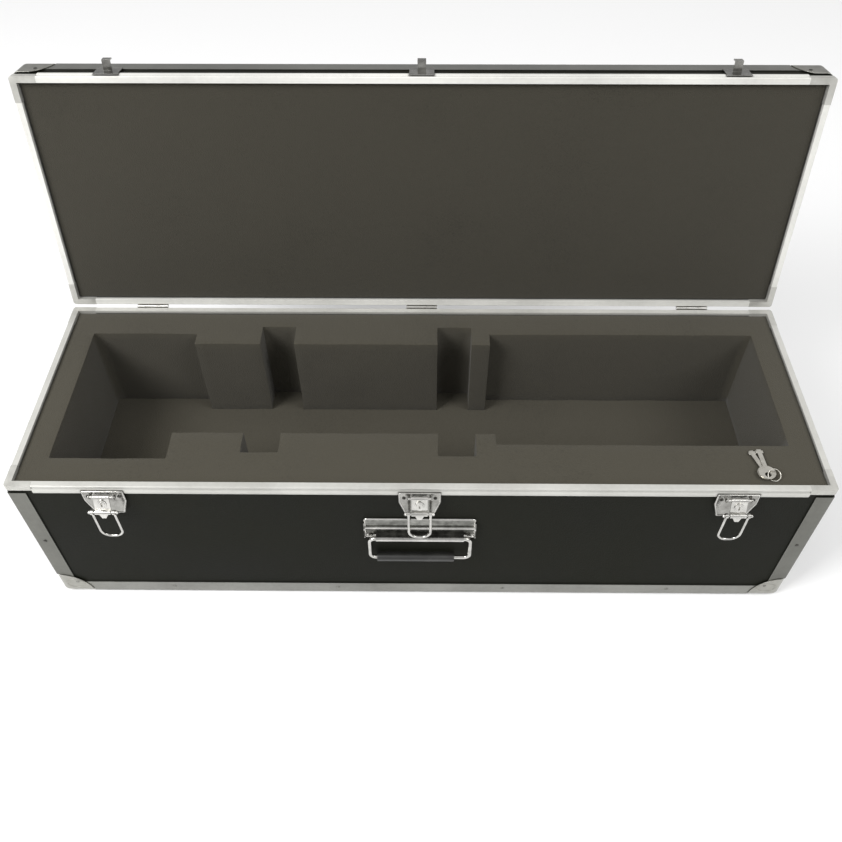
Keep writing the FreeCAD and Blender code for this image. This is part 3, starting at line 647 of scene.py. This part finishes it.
def plate_screws():
    """Two slotted screws beside the ears of each latch plate."""
    across, up = Vector((1, 0, 0)), Vector((0, 0, 1))
    apart, height = 20, 240
    radius, rise = 2.5 * MM, 0.9 * MM
    build = bmesh.new()
    for i, x in enumerate(LATCH_XS):
        for side in (-1, 1):
            turn = 0.5 + 1.3 * i + 0.7 * side
            screw_head(build, on_front(x + side * apart, height, PLATE_FACE), across, up, radius, rise, turn)
    finished(build, "latch_screws", "base", RIVET, 0.12 * MM)


# ---------------------------------------------------------------- room, light and camera

LAMP_SIZE = 1.3
LAMP_TARGET = Vector((0, MIDDLE_Y, 0.2))
FLOOR_HALF = 7
FLOOR_Z = -0.5 * MM

# The camera's place from the middle of the base in millimetres, its pitch, yaw and roll in degrees, its lens
CAMERA_PLACE = (8.9, -819.0, 1140.3)
CAMERA_ANGLES = (49.15, -0.61, -0.18)
LENS = 37.27


def soft_light(name, place, power):
    """A square lamp that points at the case."""
    lamp = bpy.data.lights.new(name, "AREA")
    lamp.shape = "RECTANGLE"
    lamp.size, lamp.size_y = LAMP_SIZE, LAMP_SIZE
    lamp.energy = power
    holder = bpy.data.objects.new(name, lamp)
    holder.location = place
    holder.rotation_euler = (LAMP_TARGET - Vector(place)).to_track_quat("-Z", "Y").to_euler()
    bpy.context.scene.collection.objects.link(holder)


def ground():
    """The room's floor, a hair under the case."""
    build = bmesh.new()
    bmesh.ops.create_grid(build, x_segments=8, y_segments=8, size=1.0)
    mesh = bpy.data.meshes.new("floor")
    build.to_mesh(mesh)
    build.free()
    mesh.materials.append(floor_look())
    piece = bpy.data.objects.new("floor", mesh)
    piece.location = (0, 0, FLOOR_Z)
    piece.scale = (FLOOR_HALF, FLOOR_HALF, 1)
    bpy.context.scene.collection.objects.link(piece)


def studio():
    """A plain pale floor, an even pale room and two soft lights."""
    ground()
    world = bpy.data.worlds.new("room")
    world.use_nodes = True
    nodes, links = world.node_tree.nodes, world.node_tree.links
    place = nodes.new("ShaderNodeTexCoord")
    split = nodes.new("ShaderNodeSeparateXYZ")
    ramp = nodes.new("ShaderNodeValToRGB")
    links.new(place.outputs["Generated"], split.inputs[0])
    links.new(split.outputs["Z"], ramp.inputs["Fac"])
    ramp.color_ramp.elements[0].position = 0.0
    ramp.color_ramp.elements[0].color = (0.42, 0.42, 0.42, 1)
    ramp.color_ramp.elements[1].position = 0.7
    ramp.color_ramp.elements[1].color = (1, 1, 1, 1)
    background = nodes["Background"]
    background.inputs["Strength"].default_value = 0.85
    links.new(ramp.outputs["Color"], background.inputs["Color"])
    bpy.context.scene.world = world
    soft_light("left_light", (-1.9, -1.2, 2.3), 72)
    soft_light("right_light", (2.0, -0.9, 2.3), 28)
    bpy.context.scene.view_settings.view_transform = "Standard"


def camera():
    """The camera looks down at the open case from the front."""
    pitch, yaw, roll = (math.radians(angle) for angle in CAMERA_ANGLES)
    forward = Vector((math.sin(yaw) * math.cos(pitch), math.cos(yaw) * math.cos(pitch), -math.sin(pitch)))
    level = Vector((math.cos(yaw), -math.sin(yaw), 0))
    upward = level.cross(forward)
    right = math.cos(roll) * level + math.sin(roll) * upward
    up = math.cos(roll) * upward - math.sin(roll) * level
    data = bpy.data.cameras.new("camera")
    data.sensor_width = 36.0
    data.lens = LENS
    data.clip_start = 0.05
    holder = bpy.data.objects.new("camera", data)
    turn = Matrix((right, up, -forward)).transposed().to_4x4()
    place = Vector(CAMERA_PLACE) * MM + Vector((0, MIDDLE_Y, 0))
    holder.matrix_world = Matrix.Translation(place) @ turn
    bpy.context.scene.collection.objects.link(holder)
    bpy.context.scene.camera = holder


dress_shell()
dress_hardware()
foam_insert()
foam_sheet("foam_base_sheet", "foam_floor_pad", "base", BASE_FOAM)
foam_sheet("foam_lid_sheet", "lid_foam_pad", "lid", LID_FOAM, LID_OPEN)
cap_ovals()
front_beads()
plate_screws()
studio()
camera()
